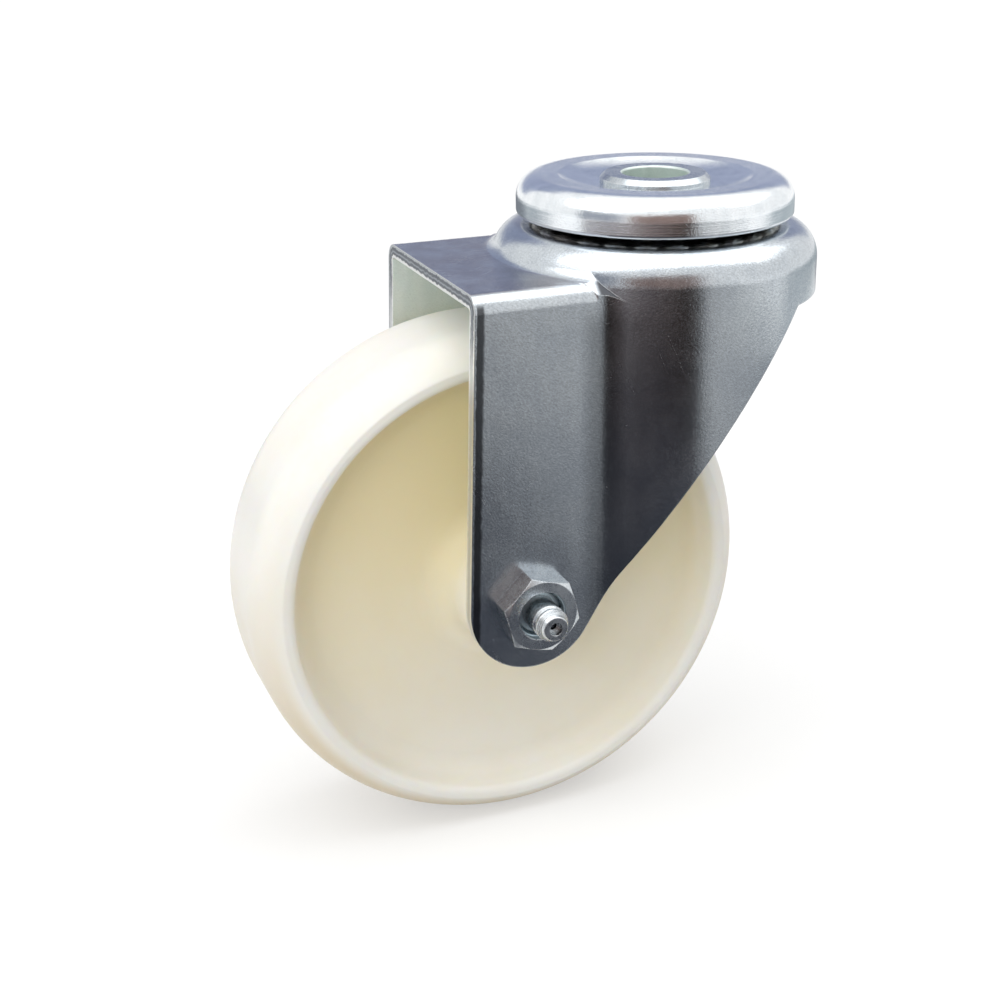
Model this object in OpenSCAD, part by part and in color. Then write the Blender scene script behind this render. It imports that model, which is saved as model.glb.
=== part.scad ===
// Swivel castor with a bolt hole fitting and a one-piece nylon wheel.
// Origin: the bolt hole's axis at the king tube's top face. +Z is up and the wheel trails towards -X.

/* [Overall] */
// Clear space between the tread and the fork's top plate
wheel_gap = 9.75; // [6:0.25:16]
// Distance from the swivel axis to the wheel's axle
trail = 45; // [42:1:48]

/* [Wheel] */
// Diameter over the tread
wheel_d = 125; // [120:1:140]
// Width over the rim faces
rim_w = 38; // [34:1:41]
// Width of the tread's straight middle
tread_w = 15.2; // [12:0.2:18]
// Radius that rolls the tread over to the rim face
tread_roll_r = 14; // [13:0.5:16]
// Depth of the rim, from the tread in to the dish's mouth
rim_t = 8.5; // [8:0.25:10]
// Rounding of the dish's mouth
dish_mouth_r = 1.8; // [1:0.1:1.9]
// Radius inside the dish's outer corner
dish_fillet_r = 6; // [4:0.5:6.5]
// Slope of the dish's wall from square, in degrees
dish_draft = 12; // [4:1:16]
// Thickness of the wheel's web
web_t = 22; // [18:1:26]
// Outer diameter of the hub at its end
hub_d = 29.5; // [28:0.5:32]
// Taper of the hub's boss on each side, in degrees
hub_draft = 1.5; // [0:0.5:3]
// Radius between the hub and the web
hub_fillet_r = 7; // [4:0.5:8]
// Rounding of the moulded edges
mould_edge_r = 1; // [0.6:0.1:1.2]
// Play from the hub's end to the leg beside it
hub_play = 1.3; // [1.2:0.1:1.8]

/* [Wheel bearing] */
// Outer diameter of the spacer sleeve that the rollers run on
sleeve_d = 15; // [14.6:0.1:16]
// Diameter of a roller
roller_d = 4; // [3.6:0.1:4.2]
// Length of a roller
roller_l = 40; // [34:1:42]
// How many rollers
roller_count = 10; // [8:1:10]
// Length of the roller cage
cage_l = 46; // [44:1:49]
// Thickness of the thrust washer at each end
thrust_t = 0.9; // [0.6:0.1:1]
// Outer diameter of the thrust washers
thrust_d = 26; // [25:0.5:28]

/* [Axle] */
// Diameter of the axle bolt
bolt_d = 11.6; // [11:0.1:12.4]
// Width over the flats of the nut and of the bolt's head
hex_af = 16.8; // [16:0.2:18]
// Height of the bolt's head
bolt_head_h = 7.5; // [6:0.5:8]
// Height of the nut
nut_h = 6; // [5:0.5:8]
// Turn of the nut on the axle, in degrees
nut_turn = 45; // [0:5:60]
// How far the bolt's end lies inside the nut's face
bolt_recess = 3; // [2:0.1:3.5]
// Diameter of the grease passage drilled in the bolt
grease_d = 3; // [2:0.5:3.5]

/* [Grease nipple] */
// Diameter of the nipple's shank
nipple_shank_d = 8; // [7.6:0.1:8.2]
// Widest diameter of the nipple's head
nipple_head_d = 8; // [7.6:0.1:8.4]
// Diameter of the flat tip that the head tapers to
nipple_tip_d = 5.6; // [5:0.1:6]
// Diameter of the neck behind the head
nipple_neck_d = 7; // [6.6:0.1:7.2]
// Length that stands out of the bolt's end
nipple_out = 10.7; // [10:0.1:11.5]
// Length pressed into the bolt's end
nipple_in = 6; // [5:0.5:8]
// Length of the nipple's head
nipple_head_l = 2.7; // [2.5:0.1:3.2]
// Diameter of the mouth in the nipple's tip
nipple_mouth_d = 3.2; // [2.8:0.1:3.4]
// Diameter of the check ball
check_ball_d = 2.4; // [2.2:0.1:2.5]

/* [Fork] */
// Thickness of the pressed sheet
sheet_t = 3.2; // [3:0.1:3.4]
// Width over the two legs
fork_w = 61; // [60:0.5:64]
// Outer radius of the bends between the top plate and the legs
bend_r = 4; // [3.6:0.1:5]
// Diameter of the round skirt behind
skirt_d = 79; // [78:0.5:82]
// Depth of the skirt's lower edge below the ball track
skirt_h = 16.2; // [15:0.2:18]
// Drop from the ball track to the top plate
plate_drop = 6.8; // [6.4:0.1:7.4]
// Radius of the crown's rounded shoulder
shoulder_r = 8; // [7:0.5:8.5]
// Radius of the hollow where the crown meets the top plate
crown_fillet_r = 3.4; // [2.8:0.2:4]
// Radius of the hollow fold between leg and skirt
fold_r = 11; // [9:0.5:12]
// Reach of the top plate ahead of the axle
plate_reach = 12.9; // [11:0.1:14]
// Radius of the rounded leg end around the axle
tongue_r = 15.6; // [15:0.2:17]
// Radius of the slightly hollow trailing edge
trail_edge_r = 600; // [300:50:1200]
// Where the trailing edge meets the skirt's lower edge, behind the swivel axis
trail_corner_x = 21.5; // [18:0.5:24]
// Clearance of the bolt in the legs' holes
axle_slack = 0.15; // [0.1:0.05:0.2]

/* [Top cap] */
// Diameter over the cap's rolled skirt
cap_d = 67.2; // [66:0.2:69]
// Depth of the cap's lip below the mounting face
cap_h = 9.5; // [9:0.1:10]
// Thickness of the cap over the ball track
cap_t = 3.9; // [3.5:0.1:4.2]
// Thickness of the cap's lip
lip_t = 3; // [2.8:0.1:3.3]
// Radius of the cap's outer shoulder
cap_roll_r = 5.4; // [5:0.2:6]
// Drop from the mounting face to the cap's crest
crest_drop = 0.25; // [0.2:0.05:0.6]
// Drop from the mounting face to the bottom of the cap's dish
dish_drop = 2.2; // [1.8:0.1:2.4]
// Radius of the fine crease round the dish
crease_r = 23.4; // [22.5:0.1:24]

/* [King tube] */
// Diameter of the bolt hole
bolt_hole_d = 16; // [15:0.5:17]
// Diameter of the tube's head
king_head_d = 26.7; // [26:0.1:27.5]
// Diameter of the tube between the two races
king_d = 24; // [23:0.2:24.6]
// Diameter of the tube's neck through the lower race
king_neck_d = 22; // [21:0.2:22.4]
// Chamfer on the tube's head
king_chamfer = 1.2; // [0.8:0.1:1.4]
// Diameter of the riveted flare below
flare_d = 31; // [28:0.5:33]
// Thickness of the riveted flare
flare_t = 2.4; // [2:0.1:3]

/* [Ball races] */
// Diameter of the upper balls
ball_d = 7; // [6.6:0.1:7.2]
// Diameter of the lower balls
lower_ball_d = 6; // [5.6:0.1:6.2]
// Running gap between a ball and its tracks
ball_gap = 0.05; // [0.03:0.01:0.08]
// Clear space between neighbouring balls
ball_spacing = 0.04; // [0.02:0.01:0.3]
// Height from the cap's dish down to the crown's raised middle
head_gap = 1.1; // [0.8:0.1:1.3]
// Gap between the king tube and the crown's hole
crown_hole_gap = 2.6; // [2.2:0.1:2.7]
// Depth of the lower balls' groove in the crown
crown_groove = 0.6; // [0.5:0.1:0.8]
// Depth of the lower balls' groove in the lower race
plate_groove = 1.9; // [1.5:0.1:2.2]
// Thickness of the lower race plate
lower_plate_t = 4; // [3.8:0.1:4.6]
// Width of the lower race plate outside its groove
lower_plate_rim = 1.5; // [1:0.1:2]

/* [Hidden] */
$fn = 96;

zinc = [0.62, 0.66, 0.72];
bright_steel = [0.78, 0.78, 0.76];
nylon = [0.93, 0.90, 0.80];

// Clearances and small standard sizes
fit_gap = 0.02;
thread_gap = 0.03;
run_gap = 0.05;
sleeve_gap = 0.15;
cage_gap = 0.4;
window_gap = 0.12;
trail_steps = 8;
far = 260;

// Levels down the head
crest_z = -crest_drop;
cap_under_z = crest_z - cap_t;
ball_r = ball_d / 2;
ball_z = cap_under_z - ball_gap - ball_r;
track_z = ball_z - ball_r - ball_gap;
boss_z = -dish_drop - cap_t - head_gap;
plate_z = track_z - plate_drop;
skirt_z = track_z - skirt_h;
lower_ball_r = lower_ball_d / 2;
lower_ball_z = boss_z - sheet_t + crown_groove - ball_gap - lower_ball_r;
lower_plate_z = lower_ball_z - lower_ball_r - ball_gap + plate_groove;
flare_z = lower_plate_z - lower_plate_t;
tube_end_z = flare_z - flare_t;
axle_z = plate_z - sheet_t - wheel_gap - wheel_d / 2;
axle = [-trail, axle_z];

// Radii of the head
cap_r = cap_d / 2;
race_r = cap_r - lip_t - ball_gap - ball_r;
track_fillet_r = ball_r + ball_gap;
upper_count = floor(180 / asin((ball_r + ball_spacing / 2) / race_r));
lower_race_r = race_r - track_fillet_r - sheet_t - lower_ball_r - 5 * ball_gap;
lower_count = floor(180 / asin((lower_ball_r + ball_spacing / 2) / lower_race_r));
crown_hole_r = king_d / 2 + crown_hole_gap;
lower_plate_r = lower_race_r + lower_ball_r + lower_plate_rim;
skirt_r = skirt_d / 2;
half_w = fork_w / 2;

// The shoulder's centre, and the centre of the hollow between the crown and the top plate
shoulder = [skirt_r - shoulder_r, track_z - shoulder_r];
hollow_z = plate_z + crown_fillet_r;
hollow = [shoulder.x + sqrt((shoulder_r + crown_fillet_r) ^ 2 - (hollow_z - shoulder.y) ^ 2), hollow_z];

// Axle stack, measured outwards from the wheel's middle
leg_in = half_w - sheet_t;
hub_half = leg_in - hub_play;
roller_r = roller_d / 2;
sleeve_r = sleeve_d / 2;
roller_pitch_r = sleeve_r + run_gap + roller_r;
hub_bore_r = roller_pitch_r + roller_r + run_gap;
nut_face = half_w + nut_h;
bolt_end = nut_face - bolt_recess;
nipple_tip = bolt_end + nipple_out;
hex_r = hex_af / 2 / cos(30);

// Inside of the grease nipple, along the axle
chamber_r = check_ball_d / 2 + 0.2;
seat_r = check_ball_d / 2 - 0.25;
mouth_depth = 2;
seat_land = 0.5;
seat_z = nipple_tip - mouth_depth - seat_land;
check_ball_z = seat_z - sqrt((check_ball_d / 2) ^ 2 - seat_r ^ 2) - run_gap;
spring_wire = 0.36;
spring_turns = 5;
spring_top = check_ball_z - check_ball_d / 2 - run_gap;
spring_foot = bolt_end - nipple_in / 2;

function along(p, q, d) = p + (q - p) * d / norm(q - p);
function turned(a, r) = r * [cos(a), sin(a)];
function angle_of(v) = atan2(v.y, v.x);

// Where two circles meet, on the side that lies clockwise of the line from p to q
function meet(p, rp, q, rq) =
    let (d = norm(q - p), a = (rp ^ 2 - rq ^ 2 + d ^ 2) / (2 * d), h = sqrt(rp ^ 2 - a ^ 2), u = (q - p) / d)
    p + a * u + h * [u.y, -u.x];

// Turns a profile drawn in radius and height about the swivel axis
module about_swivel() { rotate_extrude($fn = 144) children(); }

// Places things drawn along -Y from the wheel's middle onto the axle
module on_axle() { translate([axle.x, 0, axle.y]) rotate([90, 0, 0]) children(); }

// Turns a profile drawn in radius and distance from the wheel's middle about the axle
module about_axle() { on_axle() rotate_extrude($fn = 144) children(); }

// Head: king tube, cap, lower race and the two rings of balls

module king_tube() {
    bore = bolt_hole_d / 2;
    edge = king_chamfer / 3;
    color(zinc) about_swivel() polygon([
        [bore + edge, 0], [king_head_d / 2 - king_chamfer, 0], [king_head_d / 2, -king_chamfer],
        [king_head_d / 2, -dish_drop], [king_d / 2, -dish_drop], [king_d / 2, lower_plate_z],
        [king_neck_d / 2, lower_plate_z], [king_neck_d / 2, flare_z], [flare_d / 2 - edge, flare_z],
        [flare_d / 2, flare_z - edge], [flare_d / 2 - flare_t + edge, tube_end_z],
        [bore + edge, tube_end_z], [bore, tube_end_z + edge], [bore, -edge]
    ]);
}

// Section of the cap: a dish in the middle, a flat crest, a rolled shoulder and a short lip
module cap_section() {
    hole = king_d / 2 + fit_gap;
    dish_flat_r = king_head_d / 2 + 1.4;
    depth = dish_drop - crest_drop;
    dish_arc_r = ((crease_r - dish_flat_r) ^ 2 + depth ^ 2) / (2 * depth);
    lip_round = lip_t / 3;
    lip_foot = -cap_h + lip_round;
    difference() {
        union() {
            translate([hole, -dish_drop - cap_t]) square([crease_r - hole, dish_drop + cap_t - crest_drop]);
            translate([crease_r - 1, cap_under_z]) square([cap_r - cap_roll_r - crease_r + 1, cap_t]);
            translate([cap_r - cap_roll_r, crest_z - cap_roll_r]) intersection() {
                circle(cap_roll_r);
                square(cap_roll_r);
            }
            translate([race_r, crest_z - cap_roll_r]) square([cap_r - race_r - cap_roll_r, cap_roll_r]);
            translate([race_r, lip_foot]) square([cap_r - race_r, crest_z - cap_roll_r - lip_foot]);
            translate([race_r, -cap_h]) square([cap_r - race_r - lip_round, lip_round]);
            translate([cap_r - lip_round, lip_foot]) circle(lip_round);
        }
        // The dish's top, then its flat floor beside the tube's head
        intersection() {
            translate([dish_flat_r, -dish_drop + dish_arc_r]) circle(dish_arc_r, $fn = 360);
            translate([dish_flat_r, -dish_drop]) square([crease_r - dish_flat_r, dish_drop]);
        }
        translate([hole - 1, -dish_drop]) square([dish_flat_r - hole + 1, dish_drop]);
        // The same dish below, one thickness down
        intersection() {
            translate([dish_flat_r, -dish_drop - cap_t - 1]) square([race_r - dish_flat_r, depth + 1]);
            difference() {
                translate([dish_flat_r, -far]) square([far, far + cap_under_z]);
                translate([dish_flat_r, -dish_drop + dish_arc_r]) circle(dish_arc_r + cap_t, $fn = 360);
            }
        }
        // The ball track in the inside corner
        translate([race_r, ball_z]) circle(track_fillet_r);
        translate([race_r - track_fillet_r, -cap_h - 1]) square([2 * track_fillet_r, cap_h + 1 + ball_z]);
        translate([race_r - track_fillet_r, ball_z]) square([track_fillet_r, track_fillet_r]);
    }
}

module top_cap() { color(zinc) about_swivel() cap_section(); }

module ball_ring(count, pitch_r, z, r) {
    for (i = [0 : count - 1]) rotate(i * 360 / count) translate([pitch_r, 0, z]) sphere(r, $fn = 48);
}

module upper_balls() { color(bright_steel) ball_ring(upper_count, race_r, ball_z, ball_r); }

module lower_balls() { color(bright_steel) ball_ring(lower_count, lower_race_r, lower_ball_z, lower_ball_r); }

module lower_race_plate() {
    edge = lower_plate_rim / 2;
    edge_mid_r = lower_plate_r - edge;
    hole = king_neck_d / 2 + fit_gap;
    color(zinc) about_swivel() difference() {
        union() {
            translate([hole, flare_z]) square([edge_mid_r - hole, lower_plate_t]);
            translate([hole, flare_z + edge]) square([lower_plate_r - hole, lower_plate_t - 2 * edge]);
            for (z = [flare_z + edge, lower_plate_z - edge]) translate([edge_mid_r, z]) circle(edge);
        }
        translate([lower_race_r, lower_ball_z]) circle(lower_ball_r + ball_gap);
    }
}

// Fork: one pressed sheet, drawn as an outer form less the same form set in by the sheet's thickness

// Half section of the crown set in by t, with the hollow that runs out to the top plate where flared
module crown_section(t, flared) {
    base_z = -far / 2;
    difference() {
        union() {
            translate([0, base_z]) square([shoulder.x, track_z - t - base_z]);
            translate([0, base_z]) square([skirt_r - t, shoulder.y - base_z]);
            translate(shoulder) circle(shoulder_r - t);
            // Raised middle
            translate([0, track_z - t - 1]) square([race_r, boss_z - track_z + 1]);
            if (flared) {
                translate([0, base_z]) square([hollow.x, plate_z - t - base_z]);
                polygon([shoulder, hollow, [hollow.x, plate_z - t - 1], [shoulder.x, plate_z - t - 1]]);
            }
        }
        // Ball track, open above the balls' middle
        translate([race_r, ball_z]) circle(track_fillet_r + t);
        translate([race_r - track_fillet_r, ball_z]) square([race_r, far]);
        if (flared) translate(hollow) circle(crown_fillet_r + t);
    }
}

// Plan of the two hollow folds between the legs and the skirt, set in by t
module fold_plan(t) {
    r = skirt_r - t;
    w = half_w - t;
    f = fold_r + t;
    fold = [-sqrt((r + f) ^ 2 - (w + f) ^ 2), w + f];
    foot = fold * r / (r + f);
    for (side = [0, 1]) mirror([0, side]) difference() {
        polygon([[fold.x, w - 1], [foot.x, w - 1], foot, fold]);
        translate(fold) circle(f, $fn = 144);
    }
}

// Section across the two legs and the top plate, set in by t
module channel_section(t) {
    r = bend_r - t;
    w = half_w - t;
    translate([-w, -far / 2]) square([2 * w, far / 2 + plate_z - bend_r]);
    translate([-w + r, plate_z - bend_r - 1]) square([2 * (w - r), bend_r - t + 1]);
    for (side = [-1, 1]) translate([side * (w - r), plate_z - bend_r]) circle(r);
}

// Roof that just clears both bends half way round, set in by t, with its ridge at a round figure
module roof_section(t, w) {
    ridge_z = ceil(50 * (half_w + plate_z - 2 * bend_r + (bend_r - t) * sqrt(2))) / 50;
    polygon([[-w, -far / 2], [w, -far / 2], [w, ridge_z - w], [0, ridge_z], [-w, ridge_z - w]]);
}

// Carries a section across the legs forwards from the swivel axis
module along_legs() { rotate([90, 0, -90]) linear_extrude(far / 2) children(); }

// Everything that lies inside the sheet's face, at depth t
module fork_form(t) {
    along_legs() channel_section(t);
    about_swivel() crown_section(t, false);
    intersection() {
        about_swivel() crown_section(t, true);
        along_legs() roof_section(t, half_w - t);
    }
    intersection() {
        translate([0, 0, -far / 2]) linear_extrude(far / 2 + plate_z) fold_plan(t);
        along_legs() roof_section(t, skirt_r);
    }
}

// Side outline: punched leading edge, rounded leg end, hollow trailing edge and the skirt's lower edge
module side_outline() {
    front = axle + [-plate_reach, plate_z - axle.y];
    reach = front - axle;
    lead_foot = axle + turned(angle_of(reach) + acos(tongue_r / norm(reach)), tongue_r);
    lead_top = along(lead_foot, front, norm(front - lead_foot) - plate_z);
    corner = [trail_corner_x, skirt_z];
    centre = meet(axle, trail_edge_r + tongue_r, corner, trail_edge_r);
    foot_angle = angle_of(axle - centre);
    corner_angle = angle_of(corner - centre);
    trail_foot = along(axle, centre, tongue_r - fit_gap);
    trail_edge = [
        for (i = [1 : trail_steps])
            centre + turned(foot_angle + (corner_angle - foot_angle) * i / trail_steps, trail_edge_r)
    ];
    translate(axle) circle(tongue_r);
    polygon(concat([lead_foot, axle, trail_foot], trail_edge, [[far, skirt_z], [far, lead_top.y], lead_top]));
}

module fork() {
    groove_r = lower_ball_r + ball_gap;
    color(zinc) intersection() {
        difference() {
            fork_form(0);
            fork_form(sheet_t);
            about_swivel() translate([lower_race_r, lower_ball_z]) circle(groove_r);
            translate([0, 0, -far / 2]) cylinder(h = far, r = crown_hole_r);
            on_axle() cylinder(h = far, r = bolt_d / 2 + axle_slack, center = true);
        }
        translate([0, far / 2, 0]) rotate([90, 0, 0]) linear_extrude(far) side_outline();
    }
}

// Wheel: one moulding

// Half of the wheel's section, in radius and distance from the middle
module wheel_half_section() {
    tread_r = wheel_d / 2;
    dish_r = tread_r - rim_t;
    face = rim_w / 2;
    web = web_t / 2;
    roll_y = tread_w / 2;
    roll_r = tread_r - tread_roll_r;
    wall_foot_r = dish_r - (face - web - dish_fillet_r) * tan(dish_draft) - dish_fillet_r / cos(dish_draft);
    hub_r = hub_d / 2;
    hub_foot_r = hub_r + (hub_half - web - hub_fillet_r) * tan(hub_draft) + hub_fillet_r / cos(hub_draft);
    mouth = [dish_r - dish_mouth_r * tan(dish_draft) + dish_mouth_r / cos(dish_draft), face - dish_mouth_r];
    wall_end = mouth + turned(180 - dish_draft, dish_mouth_r);
    translate(mouth) circle(dish_mouth_r, $fn = 48);
    difference() {
        union() {
            // Web
            translate([hub_bore_r, 0]) square([roll_r - hub_bore_r, web]);
            // Rim, from the dish's wall out to the tread
            translate([wall_foot_r, 0]) square([roll_r - wall_foot_r, face]);
            translate([roll_r - 1, 0]) square([tread_roll_r + 1, roll_y]);
            intersection() {
                translate([roll_r, roll_y]) circle(tread_roll_r, $fn = 144);
                translate([roll_r - 1, 0]) square([tread_roll_r + 1, face]);
            }
            // Hub's boss
            translate([hub_bore_r, 0]) square([hub_foot_r - hub_bore_r, hub_half]);
        }
        // The dish's hollow, with its rounded outer corner
        translate([wall_foot_r, web + dish_fillet_r]) circle(dish_fillet_r);
        translate([hub_foot_r, web]) square([wall_foot_r - hub_foot_r, far]);
        polygon([
            [wall_foot_r, web + dish_fillet_r],
            [wall_foot_r, web + dish_fillet_r] + turned(-dish_draft, dish_fillet_r),
            [dish_r + far * tan(dish_draft), face + far], [wall_foot_r, face + far]
        ]);
        // Corner between the dish's wall and the rim's face, which the round mouth fills
        polygon([wall_end, mouth, [mouth.x, face + 1], [wall_end.x, face + 1]]);
        // The hollow between hub and web
        polygon([
            [hub_foot_r, web + hub_fillet_r] + turned(180 + hub_draft, hub_fillet_r),
            [hub_r, hub_half], [hub_r, hub_half + 1], [hub_foot_r + 1, hub_half + 1],
            [hub_foot_r + 1, web + hub_fillet_r], [hub_foot_r, web + hub_fillet_r]
        ]);
        translate([hub_foot_r, web + hub_fillet_r]) circle(hub_fillet_r);
        // Broken edge at the hub's mouth
        translate([hub_bore_r, hub_half]) rotate(45) square(mould_edge_r, center = true);
    }
}

module wheel() {
    color(nylon) about_axle() {
        wheel_half_section();
        mirror([0, 1]) wheel_half_section();
    }
}

// Wheel bearing

module roller_cage() {
    cage_in = sleeve_r + cage_gap;
    cage_out = hub_bore_r - cage_gap;
    color("DimGray") on_axle() difference() {
        cylinder(h = cage_l, r = cage_out, center = true);
        cylinder(h = cage_l + 1, r = cage_in, center = true);
        for (i = [0 : roller_count - 1]) rotate(i * 360 / roller_count) translate([roller_pitch_r, 0, 0])
            cylinder(h = roller_l + 2 * window_gap, r = roller_r + window_gap, center = true, $fn = 48);
    }
}

module roller(i) {
    color(bright_steel) on_axle() rotate(i * 360 / roller_count) translate([roller_pitch_r, 0, 0])
        cylinder(h = roller_l, r = roller_r, center = true, $fn = 48);
}

module spacer_sleeve() {
    color(bright_steel) on_axle() difference() {
        cylinder(h = 2 * leg_in, r = sleeve_r, center = true);
        cylinder(h = 2 * leg_in + 1, r = bolt_d / 2 + sleeve_gap, center = true);
        // Hole that lets the grease through to the rollers
        rotate([0, 90, 0]) cylinder(h = sleeve_d, d = grease_d, $fn = 32);
    }
}

module thrust_washer(side) {
    color(bright_steel) on_axle() translate([0, 0, side * (hub_half + hub_play / 2)]) difference() {
        cylinder(h = thrust_t, d = thrust_d, center = true);
        cylinder(h = 2 * thrust_t, r = sleeve_r + run_gap, center = true);
    }
}

// Axle

// Hexagon of height h with the corners of its far face chamfered at thirty degrees
module hex_block(h) {
    corner_drop = (hex_r - hex_af / 2) * tan(30);
    intersection() {
        cylinder(h = h, r = hex_r, $fn = 6);
        rotate_extrude($fn = 144) polygon([[0, 0], [hex_r + 1, 0], [hex_r + 1, h - corner_drop],
            [hex_r, h - corner_drop], [hex_af / 2, h], [0, h]]);
    }
}

module axle_bolt() {
    shank_r = bolt_d / 2;
    point = shank_r / 8;
    color(zinc) on_axle() difference() {
        union() {
            translate([0, 0, -half_w]) mirror([0, 0, 1]) hex_block(bolt_head_h);
            translate([0, 0, -half_w]) cylinder(h = half_w + bolt_end - point, r = shank_r);
            translate([0, 0, bolt_end - point]) cylinder(h = point, r1 = shank_r, r2 = shank_r - point);
        }
        // Nipple's seat, the long passage and its outlet under the rollers
        translate([0, 0, bolt_end - nipple_in]) cylinder(h = nipple_in + 1, r = nipple_shank_d / 2 + fit_gap);
        cylinder(h = bolt_end, d = grease_d, $fn = 32);
        translate([0, 0, grease_d]) rotate([0, 90, 0]) cylinder(h = bolt_d, d = grease_d, $fn = 32);
    }
}

module axle_nut() {
    hole_r = bolt_d / 2 + thread_gap;
    mouth = 0.15;
    color(zinc) on_axle() translate([0, 0, half_w]) rotate(nut_turn) difference() {
        hex_block(nut_h);
        translate([0, 0, -1]) cylinder(h = nut_h + 2, r = hole_r);
        translate([0, 0, nut_h - mouth]) cylinder(h = mouth + 0.01, r1 = hole_r, r2 = hole_r + mouth);
    }
}

// Grease nipple, with its check ball and spring

module grease_nipple() {
    shank_r = nipple_shank_d / 2;
    head_r = nipple_head_d / 2;
    neck_r = nipple_neck_d / 2;
    shank_end = bolt_end - nipple_in;
    head_z = nipple_tip - nipple_head_l;
    neck_z = head_z - head_r + neck_r;
    shoulder_z = neck_z - nipple_head_l / 4;
    edge = 0.3;
    taper_foot = [head_r, head_z + edge];
    taper_top = [nipple_tip_d / 2 + edge / 2, nipple_tip - edge / 2];
    ring_pitch = 0.5;
    ring_r = 0.1;
    color(zinc) on_axle() rotate_extrude() difference() {
        polygon([
            [0, shank_end], [shank_r - edge, shank_end], [shank_r, shank_end + edge],
            [shank_r, shoulder_z - shank_r + neck_r], [neck_r, shoulder_z], [neck_r, neck_z],
            [head_r, head_z], taper_foot, taper_top, [nipple_tip_d / 2, nipple_tip], [0, nipple_tip]
        ]);
        // Fine turned rings round the head
        for (i = [1 : 3]) translate(along(taper_foot, taper_top, i * ring_pitch)) circle(ring_r, $fn = 16);
        // Mouth, seat, chamber and outlet
        translate([-1, nipple_tip - mouth_depth]) square([1 + nipple_mouth_d / 2, mouth_depth + 1]);
        translate([-1, seat_z - 1]) square([1 + seat_r, nipple_tip - seat_z + 1]);
        translate([-1, spring_foot]) square([1 + chamber_r, seat_z - spring_foot]);
        translate([-1, shank_end - 1]) square([1 + seat_r, nipple_in + 1]);
    }
}

module check_ball() {
    color(bright_steel) on_axle() translate([0, 0, check_ball_z]) sphere(d = check_ball_d, $fn = 48);
}

// Coil spring swept as a ring of points along a helix
module check_spring() {
    sides = 6;
    steps = spring_turns * 14;
    coil_r = chamber_r - spring_wire / 2 - 0.1;
    rise = spring_top - spring_foot - spring_wire - 2 * run_gap;
    points = [
        for (i = [0 : steps], j = [0 : sides - 1])
            let (a = 360 * spring_turns * i / steps, r = coil_r + spring_wire / 2 * cos(360 * j / sides))
            [r * cos(a), r * sin(a), rise * i / steps + spring_wire / 2 * sin(360 * j / sides)]
    ];
    walls = [
        for (i = [0 : steps - 1], j = [0 : sides - 1])
            let (k = (j + 1) % sides)
            [i * sides + j, (i + 1) * sides + j, (i + 1) * sides + k, i * sides + k]
    ];
    ends = [[for (j = [0 : sides - 1]) j], [for (j = [sides - 1 : -1 : 0]) steps * sides + j]];
    color(bright_steel) on_axle() translate([0, 0, spring_foot + spring_wire / 2 + run_gap])
        polyhedron(points, concat(walls, ends), convexity = 4);
}

king_tube();
top_cap();
upper_balls();
fork();
lower_balls();
lower_race_plate();
wheel();
roller_cage();
for (i = [0 : roller_count - 1]) roller(i);
spacer_sleeve();
thrust_washer(1);  // left_thrust_washer
thrust_washer(-1);  // right_thrust_washer
axle_bolt();
axle_nut();
grease_nipple();
check_ball();
check_spring();
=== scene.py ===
import math

import bpy
from mathutils import Matrix, Vector


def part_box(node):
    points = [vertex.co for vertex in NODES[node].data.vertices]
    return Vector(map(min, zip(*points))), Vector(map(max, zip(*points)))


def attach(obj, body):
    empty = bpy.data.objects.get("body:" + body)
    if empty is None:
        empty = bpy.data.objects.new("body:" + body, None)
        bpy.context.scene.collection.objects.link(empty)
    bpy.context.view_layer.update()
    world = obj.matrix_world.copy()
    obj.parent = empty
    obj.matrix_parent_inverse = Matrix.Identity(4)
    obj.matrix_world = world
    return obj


# Looks of a bolt hole castor: a zinc plated pressed fork and ball-race head, a moulded nylon
# wheel on a bolted axle, and the plain studio that it stands in. Lengths are in metres.

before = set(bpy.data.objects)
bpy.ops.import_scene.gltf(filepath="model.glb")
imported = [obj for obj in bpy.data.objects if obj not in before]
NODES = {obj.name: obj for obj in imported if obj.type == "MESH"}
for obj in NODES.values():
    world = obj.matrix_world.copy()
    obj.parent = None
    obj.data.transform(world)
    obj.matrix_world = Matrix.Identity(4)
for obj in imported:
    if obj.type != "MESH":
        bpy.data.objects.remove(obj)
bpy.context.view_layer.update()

# Places read from the solids

WHEEL_LOW, WHEEL_HIGH = (Vector(corner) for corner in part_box("wheel"))
NUT_LOW, NUT_HIGH = (Vector(corner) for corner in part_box("axle_nut"))
BOLT_LOW = Vector(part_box("axle_bolt")[0])
FORK_LOW, FORK_HIGH = (Vector(corner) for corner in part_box("fork"))
AXLE = Vector(((WHEEL_LOW.x + WHEEL_HIGH.x) / 2, 0, (WHEEL_LOW.z + WHEEL_HIGH.z) / 2))
FLOOR_Z = WHEEL_LOW.z
LEG_OUT = -NUT_HIGH.y
TONGUE_R = AXLE.z - FORK_LOW.z
SHEET = 0.0032
BEND_R = 0.004
FORK_POINTS = [point.co for point in NODES["fork"].data.vertices]
PLATE_Z = max(point.z for point in FORK_POINTS if point.x < AXLE.x)
PLATE_X = min(point.x for point in FORK_POINTS if point.z > PLATE_Z - 0.001)
LEAD_LEAN = (PLATE_X - FORK_LOW.x) / (PLATE_Z - AXLE.z)
DISH_R = 0.054

# Axle thread, as on a 12 mm coarse bolt

THREAD_R = 0.00583
THREAD_PITCH = 0.00175
THREAD_DEPTH = 0.00085

# Colours, as reflectances; some of them carry painted light or shade, as marked

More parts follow.
